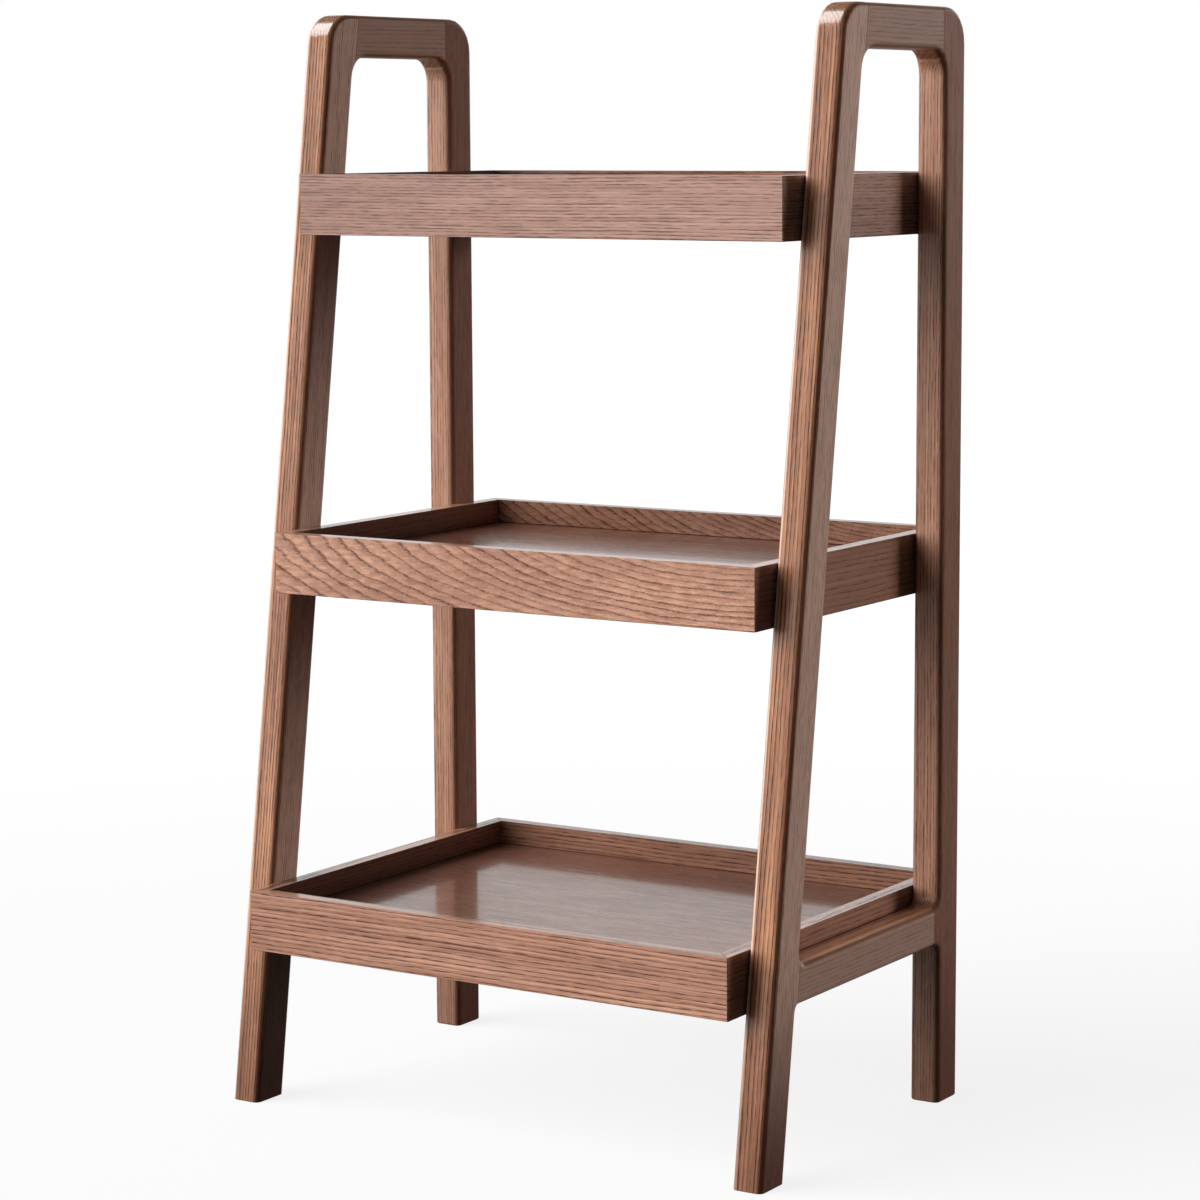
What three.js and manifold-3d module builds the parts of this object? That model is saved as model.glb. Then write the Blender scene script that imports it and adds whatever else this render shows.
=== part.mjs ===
// A three-tier ladder shelf in dark oak, in millimetres. +Z is up, the front faces -Y and
// the origin is on the floor in the middle of the footprint.
//
// Two flat side frames stand in the Y-Z plane. Each has an upright rear leg, a front leg that
// leans back, a top rail and a low rail. Three mitred trays hang between them, deeper towards
// the floor, and each one is bolted from inside into all four legs.
import * as THREE from "three";
import { mergeVertices } from "three/addons/utils/BufferGeometryUtils.js";
import Module from "manifold-3d";

const wasm = await Module();
wasm.setup();

// ---- Side frames ----
const frameHeight = 850;
const innerWidth = 432; // clear width between the two side frames
const legThickness = 25; // across the shelf, along X
const legWidth = 34; // square to the leg's own length
const footDepth = 312; // front of the front foot to the back of the rear foot
const leanAngle = THREE.MathUtils.degToRad(8);
const topRailHeight = 33;
const lowRailHeight = 30;
const lowRailRise = 2.5; // low rail's underside above the bottom tray's underside
const edgeRound = 5; // round-over on every long edge of a frame
const topCornerRadius = 27;
const upperFilletRadius = 18; // under the top rail
const lowFilletRadius = 8; // above the low rail
const kneeFilletRadius = 6; // below the low rail
const topHeelLength = 4; // stub on the rear leg that the top rail butts against
const lowHeelLength = 8; // the same for the low rail
const roundSteps = 4;
const arcSteps = 6;

// ---- Trays ----
const trayCount = 3;
const topTrayDrop = 124; // top of the frame down to the top tray's rim
const bottomTrayRim = 172; // floor up to the bottom tray's rim
const boardHeight = 47;
const boardThickness = 12;
const floorRecess = 19; // rim down to the floor panel
const floorThickness = 8;
const grooveWall = 7; // wood left outside the floor panel's groove
const frontOverhang = 29; // rim in front of the front leg
const rearOverhang = 27; // back board behind the rear leg
const trayNames = ["bottom", "middle", "top"];

// ---- Joinery and hardware ----
const tenonThickness = 8;
const tenonHeight = 18;
const tenonWall = 2.5; // wood between a tenon's end and a threaded insert
const tenonSteps = 4;
const boltRadius = 3;
const boltLength = 26; // below the head
const boltTip = 1;
const headRadius = 5.5;
const headHeight = 3.2;
const headCrown = 1.4;
const socketRadius = 2;
const socketDepth = 2;
const insertRadius = 5;
const insertLength = 15;
const insertFlange = 1.5;
const insertFlangeRadius = 6;
const flangeMargin = 0.5; // flat left between an insert's flange and the leg's round-over
const hardwareSides = 12;

// ---- Clearances ----
const jointGap = 0.3; // between faces that meet
const slipGap = 0.2; // round anything that sits in a hole, slot or groove

// ---- Derived sizes ----
const innerX = innerWidth / 2;
const outerX = innerX + legThickness;
const lean = Math.tan(leanAngle);
const legRun = legWidth / Math.cos(leanAngle); // front leg measured level, along Y
const frameOffset = (trayReach(bottomTrayRim) - rearOverhang) / 2; // centres the footprint
const backY = frameOffset; // back of the rear legs
const rims = Array.from({ length: trayCount }, (_, i) => rimHeight(i));
const lowRailBottom = bottomTrayRim - boardHeight + lowRailRise;
const topRailBottom = frameHeight - topRailHeight;
const trayHalfWidth = innerX - jointGap;
const grooveDepth = boardThickness - grooveWall;
const trayBackY = backY + rearOverhang;
const boltInset = edgeRound + insertFlangeRadius + flangeMargin; // from a leg's outer edge
const tenonLength = 2 * (legWidth - boltInset - insertRadius - tenonWall);

function rimHeight(i) {
  const topRim = frameHeight - topTrayDrop;
  return bottomTrayRim + (i * (topRim - bottomTrayRim)) / (trayCount - 1);
}

// Distance from the back of the rear legs to a tray's front face.
function trayReach(rim) {
  return footDepth - lean * rim + frontOverhang;
}

function frontEdgeY(z) {
  return backY - footDepth + lean * z;
}

function innerEdgeY(z) {
  return frontEdgeY(z) + legRun;
}

// ---- Materials ----
const woods = {
  frame: new THREE.MeshStandardMaterial({ color: 0x6f4634, roughness: 0.38, metalness: 0 }),
  board: new THREE.MeshStandardMaterial({ color: 0x8a5c48, roughness: 0.36, metalness: 0 }),
  floor: new THREE.MeshStandardMaterial({ color: 0x76584c, roughness: 0.3, metalness: 0 }),
  tenon: new THREE.MeshStandardMaterial({ color: 0xb98f63, roughness: 0.7, metalness: 0 }),
};
const steel = new THREE.MeshStandardMaterial({ color: 0x2b2b2d, roughness: 0.35, metalness: 1 });
const brass = new THREE.MeshStandardMaterial({ color: 0xb08d4c, roughness: 0.4, metalness: 1 });

// ---- Solids ----
function solid(geometry) {
  const bare = geometry.index ? geometry.toNonIndexed() : geometry.clone();
  bare.deleteAttribute("normal");
  bare.deleteAttribute("uv");
  const merged = mergeVertices(bare, 1e-4);
  return new wasm.Manifold(
    new wasm.Mesh({
      numProp: 3,
      vertProperties: merged.attributes.position.array,
      triVerts: new Uint32Array(merged.index.array),
    }),
  );
}

function geometryOf(manifold) {
  const mesh = manifold.getMesh();
  const geometry = new THREE.BufferGeometry();
  geometry.setAttribute("position", new THREE.BufferAttribute(mesh.vertProperties, 3));
  geometry.setIndex(new THREE.BufferAttribute(mesh.triVerts, 1));
  geometry.computeVertexNormals();
  return geometry;
}

function addPiece(parent, name, shape, material) {
  const geometry = shape.isBufferGeometry ? shape : geometryOf(shape);
  const mesh = new THREE.Mesh(geometry, material);
  mesh.name = name;
  parent.add(mesh);
  return mesh;
}

// A box between two corners.
function block(low, high) {
  const size = high.map((value, i) => value - low[i]);
  const middle = high.map((value, i) => (value + low[i]) / 2);
  return solid(new THREE.BoxGeometry(...size).translate(...middle));
}

// Stands an extrusion drawn in X-Y up, so that it is drawn in Y-Z and grows along +X.
function standUp(geometry) {
  const across = new THREE.Vector3(1, 0, 0);
  const back = new THREE.Vector3(0, 1, 0);
  const up = new THREE.Vector3(0, 0, 1);
  return geometry.applyMatrix4(new THREE.Matrix4().makeBasis(back, up, across));
}

// Closed outline through the corners, each [y, z, radius], with its corners rounded by arcs.
function roundedOutline(corners) {
  const points = [];
  corners.forEach(([y, z, radius], i) => {
    const corner = new THREE.Vector2(y, z);
    if (!radius) {
      points.push(corner);
      return;
    }
    const before = corners.at(i - 1);
    const after = corners[(i + 1) % corners.length];
    const toBefore = new THREE.Vector2(before[0] - y, before[1] - z).normalize();
    const toAfter = new THREE.Vector2(after[0] - y, after[1] - z).normalize();
    const half = Math.acos(toBefore.dot(toAfter)) / 2;
    const toCentre = toBefore.clone().add(toAfter).normalize();
    const centre = corner.clone().addScaledVector(toCentre, radius / Math.sin(half));
    const start = corner.clone().addScaledVector(toBefore, radius / Math.tan(half)).sub(centre);
    const sweep = (Math.PI - 2 * half) * Math.sign(toAfter.cross(toBefore));
    for (let k = 0; k <= arcSteps; k++) {
      const spoke = start.clone().rotateAround(new THREE.Vector2(), (sweep * k) / arcSteps);
      points.push(centre.clone().add(spoke));
    }
  });
  return points;
}

// ---- One side frame, in Y-Z, from X = 0 to the leg's thickness ----
// It is drawn whole, feet running on below the floor, so that the round-over flows from leg
// to rail. The floor trims the feet and the joints part it into its four members.
function wholeFrame() {
  const below = -3 * edgeRound;
  const kneeY = innerEdgeY(lowRailBottom);
  const rearInnerY = backY - legWidth;
  const outline = new THREE.Shape(
    roundedOutline([
      [frontEdgeY(below), below, 0],
      [innerEdgeY(below), below, 0],
      [kneeY, lowRailBottom, kneeFilletRadius],
      [rearInnerY, lowRailBottom, kneeFilletRadius],
      [rearInnerY, below, 0],
      [backY, below, 0],
      [backY, frameHeight, topCornerRadius],
      [frontEdgeY(frameHeight), frameHeight, topCornerRadius],
    ]),
  );
  const sill = lowRailBottom + lowRailHeight;
  outline.holes.push(
    new THREE.Path(
      roundedOutline([
        [innerEdgeY(sill), sill, lowFilletRadius],
        [innerEdgeY(topRailBottom), topRailBottom, upperFilletRadius],
        [rearInnerY, topRailBottom, upperFilletRadius],
        [rearInnerY, sill, lowFilletRadius],
      ]),
    ),
  );
  const geometry = new THREE.ExtrudeGeometry(outline, {
    depth: legThickness - 2 * edgeRound,
    bevelThickness: edgeRound,
    bevelSize: edgeRound,
    bevelOffset: -edgeRound,
    bevelSegments: roundSteps,
  });
  const frame = solid(standUp(geometry.translate(0, 0, edgeRound)));
  const underFloor = block(
    [-1, frontEdgeY(below) - 1, below - 1],
    [legThickness + 1, backY + 1, 0],
  );
  return frame.subtract(underFloor);
}

// The stretch of a frame that belongs to a rail: a slanted end against the front leg and an
// upright end against the rear leg's heel, both drawn in by inset.
function railZone(low, high, heelLength, inset) {
  const rearY = backY - legWidth - heelLength - inset;
  const zone = new THREE.Shape([
    new THREE.Vector2(innerEdgeY(low) + inset, low),
    new THREE.Vector2(rearY, low),
    new THREE.Vector2(rearY, high),
    new THREE.Vector2(innerEdgeY(high) + inset, high),
  ]);
  const geometry = new THREE.ExtrudeGeometry(zone, {
    depth: legThickness + 2,
    bevelEnabled: false,
  });
  return solid(standUp(geometry.translate(0, 0, -1)));
}

// A loose tenon across one joint, centred on the joint at height z.
function tenonSolid(jointY, z, grow) {
  const halfHeight = tenonHeight / 2 + grow;
  const radius = tenonThickness / 2 + grow;
  const section = new THREE.Shape();
  section.absarc(0, halfHeight - radius, radius, 0, Math.PI);
  section.absarc(0, radius - halfHeight, radius, Math.PI, 2 * Math.PI);
  const length = tenonLength + 2 * grow;
  const geometry = new THREE.ExtrudeGeometry(section, {
    depth: length,
    bevelEnabled: false,
    curveSegments: tenonSteps,
  });
  geometry.rotateX(Math.PI / 2).translate(legThickness / 2, jointY + length / 2, z);
  return solid(geometry);
}

const railSpecs = [
  {
    name: "top_rail",
    middle: topRailBottom + topRailHeight / 2,
    low: topRailBottom - upperFilletRadius - 1,
    high: frameHeight + 1,
    heel: topHeelLength,
  },
  {
    name: "low_rail",
    middle: lowRailBottom + lowRailHeight / 2,
    low: lowRailBottom - kneeFilletRadius - 1,
    high: lowRailBottom + lowRailHeight + lowFilletRadius + 1,
    heel: lowHeelLength,
  },
];

// Where each tray meets the two legs: the bolts go in below the tray's floor panel.
function boltPlaces(rim) {
  const z = rim - (floorRecess + floorThickness + boardHeight) / 2;
  return [
    { leg: "front", y: frontEdgeY(z) + boltInset, z },
    { leg: "rear", y: backY - boltInset, z },
  ];
}

function rodAlongX(radius, fromX, toX, y, z) {
  const length = toX - fromX;
  const geometry = new THREE.CylinderGeometry(radius, radius, length, hardwareSides);
  return solid(geometry.rotateZ(Math.PI / 2).translate(fromX + length / 2, y, z));
}

// side is -1 for the left frame and +1 for the right one.
function addFrame(parent, side, label) {
  const group = new THREE.Group();
  group.position.x = side > 0 ? innerX : -outerX;
  parent.add(group);

  const members = wholeFrame();
  let legs = members;
  for (const rail of railSpecs) {
    let piece = members.intersect(railZone(rail.low, rail.high, rail.heel, jointGap));
    legs = legs.subtract(railZone(rail.low, rail.high, rail.heel, 0));
    const joints = {
      front: innerEdgeY(rail.middle) + jointGap / 2,
      rear: backY - legWidth - rail.heel - jointGap / 2,
    };
    for (const [end, jointY] of Object.entries(joints)) {
      const socket = tenonSolid(jointY, rail.middle, slipGap);
      piece = piece.subtract(socket);
      legs = legs.subtract(socket);
      const tenon = tenonSolid(jointY, rail.middle, 0);
      addPiece(group, `${label}_${rail.name}_${end}_tenon`, tenon, woods.tenon);
    }
    addPiece(group, `${label}_${rail.name}`, piece, woods.frame);
  }

  // Blind holes for the threaded inserts, from the frame's inner face.
  const reach = Math.max(insertLength, boltLength - boardThickness) + 2;
  const [holeFrom, holeTo] = side > 0 ? [-1, reach] : [legThickness - reach, legThickness + 1];
  const [rebateFrom, rebateTo] =
    side > 0
      ? [-1, insertFlange + slipGap]
      : [legThickness - insertFlange - slipGap, legThickness + 1];
  for (const rim of rims) {
    for (const { y, z } of boltPlaces(rim)) {
      legs = legs.subtract(rodAlongX(insertRadius + slipGap, holeFrom, holeTo, y, z));
      const rebate = insertFlangeRadius + slipGap;
      legs = legs.subtract(rodAlongX(rebate, rebateFrom, rebateTo, y, z));
    }
  }
  const [first, second] = legs.decompose();
  const firstIsFront = first.boundingBox().min[1] < second.boundingBox().min[1];
  const [front, rear] = firstIsFront ? [first, second] : [second, first];
  addPiece(group, `${label}_front_leg`, front, woods.frame);
  addPiece(group, `${label}_rear_leg`, rear, woods.frame);
}

// ---- Trays ----
// A board with mitred ends along X, outer face at Y = 0 and inner face at +Y, rim at Z = 0.
function mitredBoard(length) {
  const draw = (jointGap / 2) * Math.SQRT2;
  const half = length / 2 - draw;
  const outline = new THREE.Shape([
    new THREE.Vector2(-half, 0),
    new THREE.Vector2(half, 0),
    new THREE.Vector2(half - boardThickness, boardThickness),
    new THREE.Vector2(boardThickness - half, boardThickness),
  ]);
  const geometry = new THREE.ExtrudeGeometry(outline, {
    depth: boardHeight,
    bevelEnabled: false,
  });
  const board = solid(geometry.translate(0, 0, -boardHeight));
  const groove = block(
    [-length, boardThickness - grooveDepth, -floorRecess - floorThickness - slipGap],
    [length, boardThickness + 1, slipGap - floorRecess],
  );
  return board.subtract(groove);
}

function floorPanel(halfWidth, depth) {
  const inset = grooveWall + slipGap;
  return new THREE.BoxGeometry(
    2 * (halfWidth - inset),
    depth - 2 * inset,
    floorThickness,
  ).translate(0, 0, -floorRecess - floorThickness / 2);
}

function boltGeometry() {
  const socketY = headHeight - socketDepth;
  const profile = [
    [0, -boltLength],
    [boltRadius - boltTip, -boltLength],
    [boltRadius, boltTip - boltLength],
    [boltRadius, 0],
    [headRadius, 0],
    [headRadius, headHeight - headCrown],
    [headRadius - headCrown, headHeight],
    [socketRadius, headHeight],
    [socketRadius, socketY],
    [0, socketY],
  ];
  return latheAlongX(profile);
}

function insertGeometry() {
  const bore = boltRadius + slipGap;
  const profile = [
    [bore, -insertLength],
    [insertRadius, -insertLength],
    [insertRadius, -insertFlange],
    [insertFlangeRadius, -insertFlange],
    [insertFlangeRadius, 0],
    [bore, 0],
    [bore, -insertLength],
  ];
  return latheAlongX(profile);
}

// Turns a profile of [radius, distance] about an axis whose positive end points along +X.
function latheAlongX(profile) {
  const points = profile.map(([radius, along]) => new THREE.Vector2(radius, along));
  const lathe = new THREE.LatheGeometry(points, hardwareSides);
  return solid(lathe.rotateZ(-Math.PI / 2));
}

function addTray(parent, rim, label) {
  const depth = trayReach(rim) + rearOverhang;
  const group = new THREE.Group();
  group.position.set(0, trayBackY - depth / 2, rim);
  parent.add(group);

  const places = boltPlaces(rim).map(({ leg, y, z }) => ({
    leg,
    y: y - group.position.y,
    z: z - rim,
  }));
  const longBoard = mitredBoard(2 * trayHalfWidth);
  const sideBoard = mitredBoard(depth);
  addPiece(group, `${label}_tray_front_board`, longBoard, woods.board).position.y = -depth / 2;
  const back = addPiece(group, `${label}_tray_back_board`, longBoard, woods.board);
  back.rotation.z = Math.PI;
  back.position.y = depth / 2;
  addPiece(group, `${label}_tray_floor`, floorPanel(trayHalfWidth, depth), woods.floor);

  for (const [side, name] of [[-1, "left"], [1, "right"]]) {
    const turned = geometryOf(sideBoard).rotateZ((side * Math.PI) / 2);
    let board = solid(turned.translate(side * trayHalfWidth, 0, 0));
    for (const { leg, y, z } of places) {
      const wall = boardThickness + 1;
      const [from, to] = side > 0
        ? [trayHalfWidth - wall, trayHalfWidth + 1]
        : [-trayHalfWidth - 1, wall - trayHalfWidth];
      board = board.subtract(rodAlongX(boltRadius + slipGap, from, to, y, z));

      const turn = side > 0 ? Math.PI : 0;
      const bolt = addPiece(group, `${label}_tray_${name}_${leg}_bolt`, boltGeometry(), steel);
      bolt.position.set(side * (trayHalfWidth - boardThickness - jointGap), y, z);
      bolt.rotation.z = turn;
      const insert = addPiece(
        group,
        `${label}_tray_${name}_${leg}_insert`,
        insertGeometry(),
        brass,
      );
      insert.position.set(side * (innerX + slipGap / 2), y, z);
      insert.rotation.z = turn;
    }
    addPiece(group, `${label}_tray_${name}_board`, board, woods.board);
  }
}

const shelf = new THREE.Group();
addFrame(shelf, -1, "left");
addFrame(shelf, 1, "right");
rims.forEach((rim, i) => addTray(shelf, rim, trayNames[i]));

export default shelf;
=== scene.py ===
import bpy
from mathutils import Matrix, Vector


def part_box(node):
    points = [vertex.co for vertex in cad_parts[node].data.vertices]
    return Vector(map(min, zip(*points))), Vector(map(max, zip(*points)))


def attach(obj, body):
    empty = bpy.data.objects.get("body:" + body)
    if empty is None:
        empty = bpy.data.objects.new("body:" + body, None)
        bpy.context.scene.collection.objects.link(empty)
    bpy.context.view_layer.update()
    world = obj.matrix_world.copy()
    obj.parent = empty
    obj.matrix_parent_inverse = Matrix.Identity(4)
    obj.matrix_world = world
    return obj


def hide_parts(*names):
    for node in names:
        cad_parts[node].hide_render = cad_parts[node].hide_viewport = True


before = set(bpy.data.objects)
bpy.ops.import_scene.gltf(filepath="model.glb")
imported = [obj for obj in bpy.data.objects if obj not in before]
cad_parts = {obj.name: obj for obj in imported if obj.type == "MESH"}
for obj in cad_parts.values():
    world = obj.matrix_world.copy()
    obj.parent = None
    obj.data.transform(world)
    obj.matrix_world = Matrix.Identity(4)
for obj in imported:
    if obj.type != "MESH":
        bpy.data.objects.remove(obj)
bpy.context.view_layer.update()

import math
import random

import bmesh
import bpy
from mathutils import Matrix, Vector

# A three-tier ladder shelf in stained open-grain oak. The legs, rails, tray boards and tray
# floors are drawn again as finished pieces with eased edges and their own grain. The tenons,
# bolts and inserts inside the joints are the frame's own nodes, with a material. Units are
# metres, +Z is up and the front faces -Y.
MM = 0.001
SIDES = ("left", "right")
TRAYS = ("bottom", "middle", "top")
scene = bpy.context.scene
scene.view_settings.view_transform = "Standard"


# ---- Node helpers ----
class Nodes:
    """Short ways to add shader nodes to a material or a world."""

    def __init__(self, owner, shader):
        owner.use_nodes = True
        self.owner = owner
        self.tree = owner.node_tree
        self.shader = self.tree.nodes[shader]

    def add(self, kind, inputs=None, **settings):
        node = self.tree.nodes.new("ShaderNode" + kind)
        for key, value in settings.items():
            setattr(node, key, value)
        for key, value in (inputs or {}).items():
            self.feed(node.inputs[key], value)
        return node

    def feed(self, socket, value):
        if isinstance(value, bpy.types.NodeSocket):
            self.tree.links.new(value, socket)
        else:
            socket.default_value = value

    def math(self, operation, a, b=0.0, c=0.0, clamp=False):
        node = self.add("Math", {0: a, 1: b, 2: c}, operation=operation, use_clamp=clamp)
        return node.outputs[0]

    def noise(self, vector, scale, detail=2.0, roughness=0.5):
        """Noise of scale bumps a metre, where a tuple gives each direction its own."""
        if isinstance(scale, tuple):
            vector, scale = self.stretch(vector, scale), 1.0
        inputs = {"Vector": vector, "Scale": scale, "Detail": detail, "Roughness": roughness}
        return self.add("TexNoise", inputs).outputs["Fac"]

    def stretch(self, vector, scale):
        inputs = {0: vector, 1: scale}
        return self.add("VectorMath", inputs, operation="MULTIPLY").outputs[0]

    def curve(self, value, stops):
        """A smooth curve through stops, each a value and the level it gives."""
        node = self.add("ValToRGB", {0: value})
        node.color_ramp.interpolation = "EASE"
        elements = node.color_ramp.elements
        while len(elements) < len(stops):
            elements.new(0.5)
        for element, (position, level) in zip(elements, stops):
            element.position = position
            element.color = (level, level, level, 1.0)
        return node.outputs[0]

    def grade(self, value, low, high, to_low=0.0, to_high=1.0):
        """to_low where the value is low, to_high where it is high, and smooth between."""
        inputs = {0: value, 1: low, 2: high, 3: to_low, 4: to_high}
        return self.add("MapRange", inputs, interpolation_type="SMOOTHSTEP").outputs[0]

    def mix(self, factor, a, b):
        node = self.add("Mix", data_type="RGBA")
        self.feed(node.inputs[0], factor)
        self.feed(node.inputs[6], a)
        self.feed(node.inputs[7], b)
        return node.outputs[2]


def new_material(name):
    return Nodes(bpy.data.materials.new(name), "Principled BSDF")


def rgb(red, green, blue):
    """An sRGB colour of 0 to 255 as linear values."""
    def linear(value):
        value /= 255
        return value / 12.92 if value <= 0.04045 else ((value + 0.055) / 1.055) ** 2.4

    return (linear(red), linear(green), linear(blue), 1.0)


# ---- Materials ----
PAINTED_HIGHLIGHT = rgb(240, 206, 184)           # the pale colour of the painted highlight along the left of the rounded edges

# How finely the grain is drawn: bumps a metre along it, and in both directions across it.
BOARD_WANDER = (1.7, 7.0, 7.0)
RING_WANDER = (9.0, 70.0, 70.0)
PORE_CELLS = (84.0, 1350.0, 1350.0)
PORE_PATCHES = (30.0, 240.0, 240.0)
PORE_STREAKS = (45.0, 900.0, 900.0)
FIBRES = (7.0, 330.0, 330.0)
STAIN_DRIFT = (2.5, 24.0, 24.0)
LACQUER_SHEEN = (20.0, 90.0, 90.0)

# How much early wood there is across one growth ring, from its start (0) to its end (1).
RING_PROFILE = ((0.0, 0.3), (0.1, 1.0), (0.34, 0.3), (0.85, 0.0), (1.0, 0.2))
RING_JITTER = 1.1                   # how far the fine wander moves a ring, in ring widths
YEAR_STEP = 3.7                     # so far apart in the noise that no year is like the next
SIDE_ON = (0.8, 0.99)               # how squarely a face looks sideways as its painted sheen or shade sets in
LEFT_PAINTED_SHADE = 0.6                    # how much painted shade darkens the faces to the left
PORE_DEPTH = 0.3 * MM
SPECULAR = 0.25


def oak(name, light, dark, pore, ring=3.0, flow=8.0, lines=0.5, pores=0.8, roughness=0.34,
        depth=1.0, coat=0.9, polish=0.18, side=((0, 0, 0, 1), 0.0), foot=0.0, edge_highlight=0.0):
    """Stained oak. It reads the "grain" attribute: metres along the grain, then two metres
    across it, measured from the tree's heart, so that rings and pores run in solid. ring is
    the spacing of the growth rings and flow how far they wander along a board, in mm; lines
    and pores are how strongly the rings and the pores show, and depth how deep the pores
    are. coat and polish are the lacquer's strength and how rough it is. side is a colour
    painted on the faces to the right, as painted sheen or painted shade, and how much of it;
    foot is the height that the painted shade of the feet reaches, in metres, and
    edge_highlight is how strong the painted highlight along the left of the rounded edges is."""
    n = new_material(name)
    grain = n.add("Attribute", attribute_name="grain").outputs["Vector"]
    split = n.add("SeparateXYZ", {0: grain}).outputs

    # Growth rings, wandering slowly along the board and a little across it.
    slow = n.noise(grain, BOARD_WANDER, 1.0)
    wander = n.noise(grain, RING_WANDER, 3.0, 0.55)
    radius = n.math("SQRT", n.math(
        "ADD", n.math("MULTIPLY", split[1], split[1]), n.math("MULTIPLY", split[2], split[2])))
    bent = n.math("MULTIPLY_ADD", slow, flow * MM, radius)
    bent = n.math("MULTIPLY_ADD", wander, RING_JITTER * ring * MM, bent)
    phase = n.math("DIVIDE", bent, ring * MM)
    fraction = n.math("FRACT", phase)
    early = n.curve(fraction, RING_PROFILE)
    ordinal = n.add("CombineXYZ", {0: n.math("FLOOR", phase)}).outputs[0]
    year = n.noise(ordinal, YEAR_STEP, 0.0)
    early = n.math("MULTIPLY", early, n.grade(year, 0.3, 0.7, 0.55, 1.1))

    # Open pores: short dark dashes and fine streaks, thickest in the early wood.
    drifted = n.add("VectorMath", {0: grain, 1: n.add("CombineXYZ", {
        1: n.math("MULTIPLY", wander, 2.5 * MM), 2: n.math("MULTIPLY", slow, 6 * MM),
    }).outputs[0]}, operation="ADD").outputs[0]
    cells = n.stretch(drifted, PORE_CELLS)
    dash = n.add("TexVoronoi", {"Vector": cells, "Scale": 1.0, "Randomness": 1.0}, feature="F1")
    patchy = n.noise(grain, PORE_PATCHES, 1.0)
    reach = n.grade(patchy, 0.3, 0.7, 0.3, 0.66)
    dashes = n.grade(n.math("SUBTRACT", dash.outputs["Distance"], reach), 0.06, -0.14)
    fine = n.noise(grain, PORE_STREAKS, roughness=0.6)
    streaks = n.grade(fine, 0.54, 0.66)
    fibre = n.noise(grain, FIBRES, roughness=0.6)
    open_wood = n.grade(early, 0.1, 0.7, 0.22, 1.0)
    pits = n.math("MULTIPLY", n.math("MAXIMUM", dashes, streaks), open_wood, clamp=True)

    # Colour: early wood and fibres take more stain, and the whole board drifts a little.
    drift = n.noise(grain, STAIN_DRIFT)
    base = n.mix(n.math("MULTIPLY", early, lines), light, dark)
    base = n.mix(n.grade(fibre, 0.35, 0.65, 0.0, 0.4 * lines + 0.1), base, dark)
    base = n.mix(n.grade(drift, 0.3, 0.7, 0.0, 0.3), base, dark)

    # Painted sheen and shade by the way a face looks: faces to the right take the side colour,
    # painted sheen on the front legs and rails and painted shade elsewhere; faces to the left
    # are darkened as painted shade.
    place = n.add("TexCoord").outputs
    normal = n.add("SeparateXYZ", {0: place["Normal"]}).outputs
    sideways = n.math("ABSOLUTE", normal[0])
    rightward = n.grade(normal[0], *SIDE_ON)
    leftward = n.grade(normal[0], -SIDE_ON[0], -SIDE_ON[1])
    painted_side_colour, amount = side
    painted_side_tone = n.mix(0.5, painted_side_colour, n.mix(early, painted_side_colour, n.mix(0.5, painted_side_colour, dark)))
    base = n.mix(n.math("MULTIPLY", rightward, amount), base, painted_side_tone)
    base = n.mix(n.math("MULTIPLY", leftward, LEFT_PAINTED_SHADE), base, dark)

    # Stain sits darkest in the pores, and they show less through the painted side colour.
    shown = n.math("MULTIPLY_ADD", rightward, -0.45 * amount * pores, pores)
    colour = n.mix(n.math("MULTIPLY", pits, shown), base, pore)

    # Painted shade on the rounded edges: darkened a little on the left and much more on the right.
    flat = n.math("MAXIMUM", sideways, n.math("ABSOLUTE", normal[1]))
    flat = n.math("MAXIMUM", flat, n.math("ABSOLUTE", normal[2]))
    painted_shade_colour = n.mix(0.5, dark, pore)
    edge_shade = n.grade(normal[0], -0.3, 0.3, 0.1, 0.65)
    colour = n.mix(n.math("MULTIPLY", n.grade(flat, 0.975, 0.8), edge_shade), colour, painted_shade_colour)

    # A painted highlight: a pale band along the left of the rounded edges.
    if edge_highlight:
        highlight_band = n.math(
            "MULTIPLY", n.grade(normal[0], -0.22, -0.45), n.grade(normal[0], -0.9, -0.6))
        colour = n.mix(n.math("MULTIPLY", highlight_band, edge_highlight), colour, PAINTED_HIGHLIGHT)

    # Painted shade near the floor: the feet are darker, most on their sideways faces.
    if foot:
        height = n.add("SeparateXYZ", {0: place["Object"]}).outputs[2]
        foot_shade = n.math("MULTIPLY_ADD", sideways, 0.45, 0.45)
        colour = n.mix(n.math("MULTIPLY", n.grade(height, foot, 0.0), foot_shade), colour, painted_shade_colour)
    n.feed(n.shader.inputs["Base Color"], colour)

    # Satin lacquer that sinks into the pores.
    sheen = n.noise(grain, LACQUER_SHEEN)
    gloss = n.math("MULTIPLY_ADD", pits, 0.2, n.grade(sheen, 0.3, 0.7, roughness, roughness + 0.1))
    n.feed(n.shader.inputs["Roughness"], gloss)
    relief = n.math("MULTIPLY_ADD", early, -0.3, n.math("MULTIPLY", pits, -depth))
    bump = n.add("Bump", {"Height": relief, "Strength": 0.5, "Distance": PORE_DEPTH})
    n.feed(n.shader.inputs["Normal"], bump.outputs[0])
    n.shader.inputs["Specular IOR Level"].default_value = SPECULAR
    n.shader.inputs["Coat Weight"].default_value = coat
    n.shader.inputs["Coat Roughness"].default_value = polish
    return n.owner


TOOL_MARKS = (3000.0, 400.0, 400.0)     # bumps a metre
METAL_CLOUDS = 160.0
DULLED = 0.6                            # how bright the clouded metal is beside the clear


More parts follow.
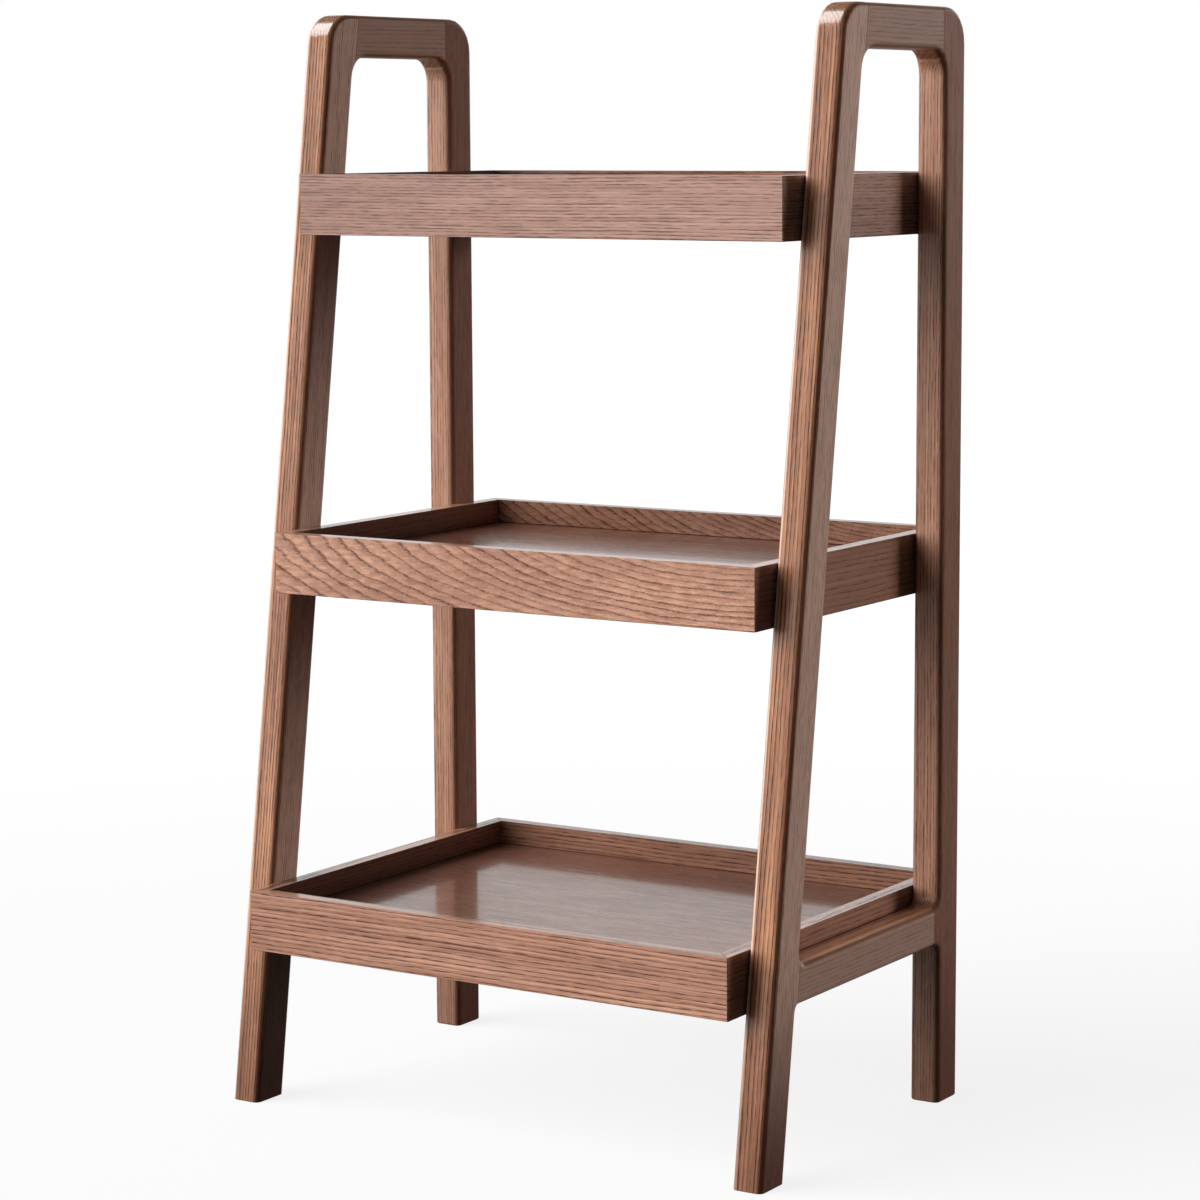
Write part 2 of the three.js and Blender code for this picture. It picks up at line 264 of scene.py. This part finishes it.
def metal(name, colour, roughness):
    """Turned metal with fine tool marks."""
    n = new_material(name)
    place = n.add("TexCoord").outputs["Object"]
    marks = n.noise(place, TOOL_MARKS, 3.0)
    cloud = n.noise(place, METAL_CLOUDS)
    dull = tuple(channel * DULLED for channel in colour[:3]) + (1.0,)
    n.feed(n.shader.inputs["Base Color"], n.mix(n.grade(cloud, 0.35, 0.7), colour, dull))
    n.shader.inputs["Metallic"].default_value = 1.0
    n.feed(n.shader.inputs["Roughness"], n.grade(marks, 0.3, 0.7, roughness, roughness + 0.15))
    bump = n.add("Bump", {"Height": marks, "Strength": 0.3, "Distance": 0.05 * MM})
    n.feed(n.shader.inputs["Normal"], bump.outputs[0])
    return n.owner


# ---- Pieces ----
SAME_CORNER = 2e-6                  # CAD corners nearer to each other than this are one
FLAT_ANGLE = math.radians(0.4)      # faces that meet at less than this are one
SHARP_ANGLE = math.radians(40)      # edges that turn by more than this are eased
ON_FLOOR = 1e-4                     # edges lower than this are under the feet
EASE_STEPS = 3
rng = random.Random(7)
pieces = {}                         # the finished pieces, by the names of their CAD nodes


def grain_axes(along, across):
    """Unit directions along the grain, across it and through the board."""
    along = Vector(along).normalized()
    through = along.cross(Vector(across)).normalized()
    return along, through.cross(along).normalized(), through


def finish(node, material, along, across, heart, ease, foot_ease=None):
    """Draws a CAD node again with eased arrises and smooth curves, and writes its grain:
    along is the fibre direction, and heart is where the tree's heart lies, in mm across and
    through the board from its middle. ease and foot_ease are how wide the arrises of the
    piece and of its foot are, in mm."""
    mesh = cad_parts[node].data.copy()
    mesh.materials.clear()
    build = bmesh.new()
    build.from_mesh(mesh)
    bmesh.ops.remove_doubles(build, verts=build.verts, dist=SAME_CORNER)
    bmesh.ops.dissolve_limit(
        build, angle_limit=FLAT_ANGLE, verts=build.verts, edges=build.edges)
    sharp = [e for e in build.edges if e.is_manifold and e.calc_face_angle(0) > SHARP_ANGLE]
    feet = [e for e in sharp if max(v.co.z for v in e.verts) < ON_FLOOR]
    others = [e for e in sharp if e not in set(feet)]
    groups = [(others, ease * MM)]
    if foot_ease:
        groups.insert(0, (feet, foot_ease * MM))
    for edges, width in groups:
        edges = [e for e in edges if e.is_valid]
        bmesh.ops.bevel(
            build, geom=edges, offset=width, segments=EASE_STEPS, profile=0.5, affect="EDGES",
            clamp_overlap=True)
    for face in build.faces:
        face.smooth = True
    build.to_mesh(mesh)
    build.free()

    piece = bpy.data.objects.new(node + "_finished", mesh)
    scene.collection.objects.link(piece)
    mesh.materials.append(material)
    low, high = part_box(node)
    middle = (low + high) / 2
    u, v, w = grain_axes(along, across)
    shift = Vector((rng.uniform(1, 9), heart[0] * MM, heart[1] * MM))
    layer = mesh.attributes.new("grain", "FLOAT_VECTOR", "POINT")
    for vertex in mesh.vertices:
        place = vertex.co - middle
        local = Vector((place.dot(u), place.dot(v), place.dot(w)))
        layer.data[vertex.index].vector = local + shift
    normals = piece.modifiers.new("flat_faces", "WEIGHTED_NORMAL")
    normals.mode = "FACE_AREA"
    normals.keep_sharp = False
    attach(piece, "root")
    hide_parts(node)
    pieces[node] = piece


def tones(light, dark, pore):
    return {"light": rgb(*light), "dark": rgb(*dark), "pore": rgb(*pore)}


STAIN = tones((224, 158, 114), (106, 58, 37), (44, 23, 15))
QUIET_STAIN = tones((203, 161, 144), (136, 97, 81), (84, 56, 47))
BOARD_STAIN = tones((229, 175, 147), (136, 88, 68), (64, 37, 29))
# Painted shade: the back boards take a darker copy of the board stain, all over, for the shade
# inside the trays.
BACK_STAIN_PAINTED_SHADE = tones((182, 134, 110), (112, 70, 52), (58, 33, 25))
FLOOR_STAIN = tones((166, 114, 92), (122, 78, 62), (66, 40, 33))
PLAIN = tones((204, 166, 122), (172, 130, 88), (120, 84, 54))
REAR_STAIN = tones((208, 160, 132), (132, 84, 62), (60, 35, 26))
# The colour painted on the faces to the right, and how much of it: painted sheen on the
# front legs and rails, painted shade on the rear legs and the lower two trays' boards.
PAINTED_SHEEN_SIDES = (rgb(218, 180, 162), 0.85)
RAIL_PAINTED_SHEEN = (rgb(176, 144, 130), 0.85)
REAR_PAINTED_SHADE = (rgb(128, 82, 68), 0.62)
BOARD_PAINTED_SHADE = (rgb(150, 104, 86), 0.7)
# The legs' grain, with the strength of the painted highlight on their left edges and the height of
# the painted shade at their feet.
LEG_GRAIN = {"ring": 1.9, "flow": 6.0, "lines": 1.0, "pores": 0.9, "foot": 0.19, "edge_highlight": 0.8}
REAR_GRAIN = {"ring": 1.5, "flow": 9.0, "lines": 0.6, "pores": 0.7, "foot": 0.19}
front_leg_oak = oak("front_leg_oak", **STAIN, **LEG_GRAIN, side=PAINTED_SHEEN_SIDES)
rear_leg_oak = oak("rear_leg_oak", **REAR_STAIN, **REAR_GRAIN, side=REAR_PAINTED_SHADE)
rail_oak = oak("rail_oak", **STAIN, ring=3.2, flow=12.0, lines=0.5, pores=0.4, side=RAIL_PAINTED_SHEEN)
quiet_oak = oak("quiet_oak", **QUIET_STAIN, ring=2.4, flow=12.0, lines=0.6, pores=0.75)
flame_oak = oak("flame_oak", **BOARD_STAIN, ring=4.4, flow=14.0, lines=0.75, pores=0.6,
                side=BOARD_PAINTED_SHADE)
striped_oak = oak("striped_oak", **BOARD_STAIN, ring=3.6, flow=8.0, lines=1.0, pores=0.8,
                  side=BOARD_PAINTED_SHADE)
back_oak_painted_shade = oak("back_oak_painted_shade", **BACK_STAIN_PAINTED_SHADE, ring=3.2, flow=9.0, lines=0.8, pores=0.8)
floor_oak = oak("floor_oak", **FLOOR_STAIN, ring=3.4, flow=14.0, lines=0.4, pores=0.6,
                roughness=0.26, depth=0.25, coat=0.6, polish=0.1)
tenon_oak = oak("tenon_oak", **PLAIN, roughness=0.55, coat=0.0)
bolt_steel = metal("bolt_steel", rgb(60, 60, 64), 0.35)
insert_brass = metal("insert_brass", rgb(190, 150, 84), 0.3)


# The front legs' lean, from how far the top tray's front board stands behind the bottom one's.
LOW_BOARD, HIGH_BOARD = (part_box(f"{tray}_tray_front_board")[0] for tray in ("bottom", "top"))
LEAN = (HIGH_BOARD.y - LOW_BOARD.y) / (HIGH_BOARD.z - LOW_BOARD.z)
LEG_OAK = {"front": front_leg_oak, "rear": rear_leg_oak}
LEG_AXIS = {"front": (0, LEAN, 1), "rear": (0, 0, 1)}
# The middle boards are cut aslant, so their rings run out of the face in long flames.
FLAME_TILT = 0.26
FLAME_HEART = (-47, -54)
BOARD_OAK = {"bottom": striped_oak, "middle": flame_oak, "top": quiet_oak}
# Where the tree's heart may lie for each kind of piece, in mm: near, far and through.
LEG_HEART = (90, 130, 95)
RAIL_HEART = (80, 120, 60)
BOARD_HEART = (110, 150, 40)
FLOOR_HEART = (260, 60)             # one place for all three floors: across and through

# How wide the eased arrises are, in mm.
FRAME_EASE = 0.25
FOOT_EASE = 1.6
BOARD_EASE = 0.5
FLOOR_EASE = 0.3


def heart(near, far, through):
    """A place for the tree's heart: between near and far mm across the board, and up to
    through mm either way out of its face."""
    return rng.uniform(near, far), rng.choice((-1, 1)) * rng.uniform(0.6, 1.0) * through


for side in SIDES:
    for end in ("front", "rear"):
        finish(f"{side}_{end}_leg", LEG_OAK[end], LEG_AXIS[end], (0, 1, 0),
               heart(*LEG_HEART), FRAME_EASE, FOOT_EASE)
    for rail in ("top_rail", "low_rail"):
        finish(f"{side}_{rail}", rail_oak, (0, 1, 0), (0, 0, 1),
               heart(*RAIL_HEART), FRAME_EASE)

for tray in TRAYS:
    wood = BOARD_OAK[tray]
    for board in ("front", "back"):
        along, place = (1, 0, 0), heart(*BOARD_HEART)
        if tray == "middle":
            along, place = (1, FLAME_TILT, 0), FLAME_HEART
        finish(f"{tray}_tray_{board}_board",
               back_oak_painted_shade if board == "back" else wood, along, (0, 0, 1), place, BOARD_EASE)
    for side in SIDES:
        finish(f"{tray}_tray_{side}_board", wood, (0, 1, 0), (0, 0, 1),
               heart(*BOARD_HEART), BOARD_EASE)
    finish(f"{tray}_tray_floor", floor_oak, (1, 0, 0), (0, 1, 0),
           FLOOR_HEART, FLOOR_EASE)

left_frame, right_frame = (
    [piece for name, piece in pieces.items() if name.startswith(side)] for side in SIDES)
right_pieces = right_frame + [
    piece for name, piece in pieces.items() if name.endswith(("right_board", "back_board"))]

for name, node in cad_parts.items():
    material = None
    if name.endswith("_bolt"):
        material = bolt_steel
    elif name.endswith("_insert"):
        material = insert_brass
    elif name.endswith("_tenon"):
        material = tenon_oak
    if material:
        node.data.materials.clear()
        node.data.materials.append(material)

# ---- Stage ----
FLOOR_REACH = 40.0                  # the floor's radius
FLOOR_SIDES = 64
FLOOR_GLOW = (0.5, 3.0, 0.85, 0.93)     # two distances, then how brightly it glows at each
FLOOR_BASE = 0.16                   # its grey, which the lights and shadows fall on
WHITE = (1, 1, 1, 1)
SKY = 0.1                           # the ceiling's brightness beside the backdrop's
GROUND = 0.2                        # the light that comes up from below
BACKDROP_TOP = (0.26, 0.42)         # the heights, as sines, where the backdrop fades out
HORIZON = (-0.06, 0.0)              # the heights where it gives way to the ground
FLAG = (0.94, -0.34, 0.0)           # the way the dark side of the studio lies
FLAG_EDGE = (-0.35, 0.25)           # where the light starts to fade that way, and where it has
FLAGGED = 0.06                      # what is left of the light on the dark side


def make_stage():
    """A wide floor, near white, that shows soft shadows but throws no light back up."""
    build = bmesh.new()
    angles = [2 * math.pi * corner / FLOOR_SIDES for corner in range(FLOOR_SIDES)]
    build.faces.new([
        build.verts.new((FLOOR_REACH * math.cos(a), FLOOR_REACH * math.sin(a), 0.0))
        for a in angles])
    mesh = bpy.data.meshes.new("studio_floor")
    build.to_mesh(mesh)
    build.free()
    stage = bpy.data.objects.new("studio_floor", mesh)
    scene.collection.objects.link(stage)
    stage.visible_diffuse = False
    stage.visible_glossy = False
    n = new_material("studio_floor")
    place = n.add("TexCoord").outputs["Object"]
    distance = n.add("VectorMath", {0: place}, operation="LENGTH").outputs["Value"]
    n.feed(n.shader.inputs["Emission Strength"], n.grade(distance, *FLOOR_GLOW))
    n.shader.inputs["Emission Color"].default_value = WHITE
    n.shader.inputs["Base Color"].default_value = (FLOOR_BASE, FLOOR_BASE, FLOOR_BASE, 1)
    n.shader.inputs["Roughness"].default_value = 0.95
    n.shader.inputs["Specular IOR Level"].default_value = 0.1
    mesh.materials.append(n.owner)


def make_sun(name, azimuth, elevation, strength, spread, glints=True, shade=True, only=None):
    """A soft distant light: azimuth 0 shines from the front and -90 from the left. glints and
    shade say whether it shows in the lacquer and whether it lights the wood. only is a list
    of the pieces it falls on, where it is kept off the rest."""
    data = bpy.data.lights.new(name, "SUN")
    data.energy = strength
    data.angle = math.radians(spread)
    light = bpy.data.objects.new(name, data)
    turn, rise = math.radians(azimuth), math.radians(elevation)
    towards = Vector((
        math.sin(turn) * math.cos(rise), -math.cos(turn) * math.cos(rise), math.sin(rise)))
    light.rotation_euler = towards.to_track_quat("Z", "Y").to_euler()
    light.visible_glossy = glints
    light.visible_diffuse = shade
    scene.collection.objects.link(light)
    if only:
        lit = bpy.data.collections.new(name + "_falls_on")
        for piece in only:
            lit.objects.link(piece)
        light.light_linking.receiver_collection = lit


def make_world():
    """A white backdrop, bright round the horizon and dim overhead, below and to the front
    right, where a studio's black flag would stand."""
    scene.world = bpy.data.worlds.new("studio")
    n = Nodes(scene.world, "Background")
    towards = n.add("TexCoord").outputs["Generated"]
    height = n.add("SeparateXYZ", {0: towards}).outputs[2]
    band = n.grade(height, *BACKDROP_TOP, 1.0, SKY)
    below = n.grade(height, *HORIZON, GROUND, 1.0)
    flag = n.add("VectorMath", {0: towards, 1: FLAG}, operation="DOT_PRODUCT").outputs["Value"]
    flagged = n.grade(flag, *FLAG_EDGE, 1.0, FLAGGED)
    glow = n.math("MULTIPLY", n.math("MULTIPLY", band, below), flagged)
    seen = n.add("LightPath").outputs["Is Camera Ray"]
    n.feed(n.shader.inputs["Color"], WHITE)
    n.feed(n.shader.inputs["Strength"], n.math("MAXIMUM", glow, seen))


# The camera that fits the photo's perspective. Sensor and lens in mm, sight in metres.
SENSOR_WIDTH, LENS, SIGHT = 36.0, 104.65, 60
CAMERA_PLACE = (1.4479, -2.2749, 0.7578)
CAMERA_YAW, CAMERA_PITCH, CAMERA_ROLL = (math.radians(a) for a in (32.48, 7.65, 0.27))


def make_camera():
    """The photo's view: a short telephoto lens, to the right of the shelf and a little above."""
    data = bpy.data.cameras.new("camera")
    data.sensor_width = SENSOR_WIDTH
    data.lens = LENS
    data.clip_end = SIGHT
    camera = bpy.data.objects.new("camera", data)
    aim = Matrix.Rotation(CAMERA_YAW, 4, "Z") @ Matrix.Rotation(math.pi / 2 - CAMERA_PITCH, 4, "X")
    roll = Matrix.Rotation(-CAMERA_ROLL, 4, "Z")
    camera.matrix_world = Matrix.Translation(CAMERA_PLACE) @ aim @ roll
    scene.collection.objects.link(camera)
    scene.camera = camera


make_stage()
make_world()
make_sun("key_front_left", azimuth=-50, elevation=26, strength=4.1, spread=60, glints=False)
make_sun("fill_front", azimuth=-14, elevation=10, strength=0.45, spread=60, glints=False)
# The rims and the glint fall only on the pieces that catch such light in the photo.
make_sun("rim_back_right", azimuth=142, elevation=3, strength=3.0, spread=20, glints=False,
         only=right_pieces)
make_sun("rim_back_left", azimuth=142, elevation=18, strength=1.3, spread=30, glints=False,
         only=left_frame)
make_sun("softbox_glint", azimuth=-70, elevation=50, strength=3.4, spread=40, shade=False,
         only=left_frame + right_frame)
make_camera()
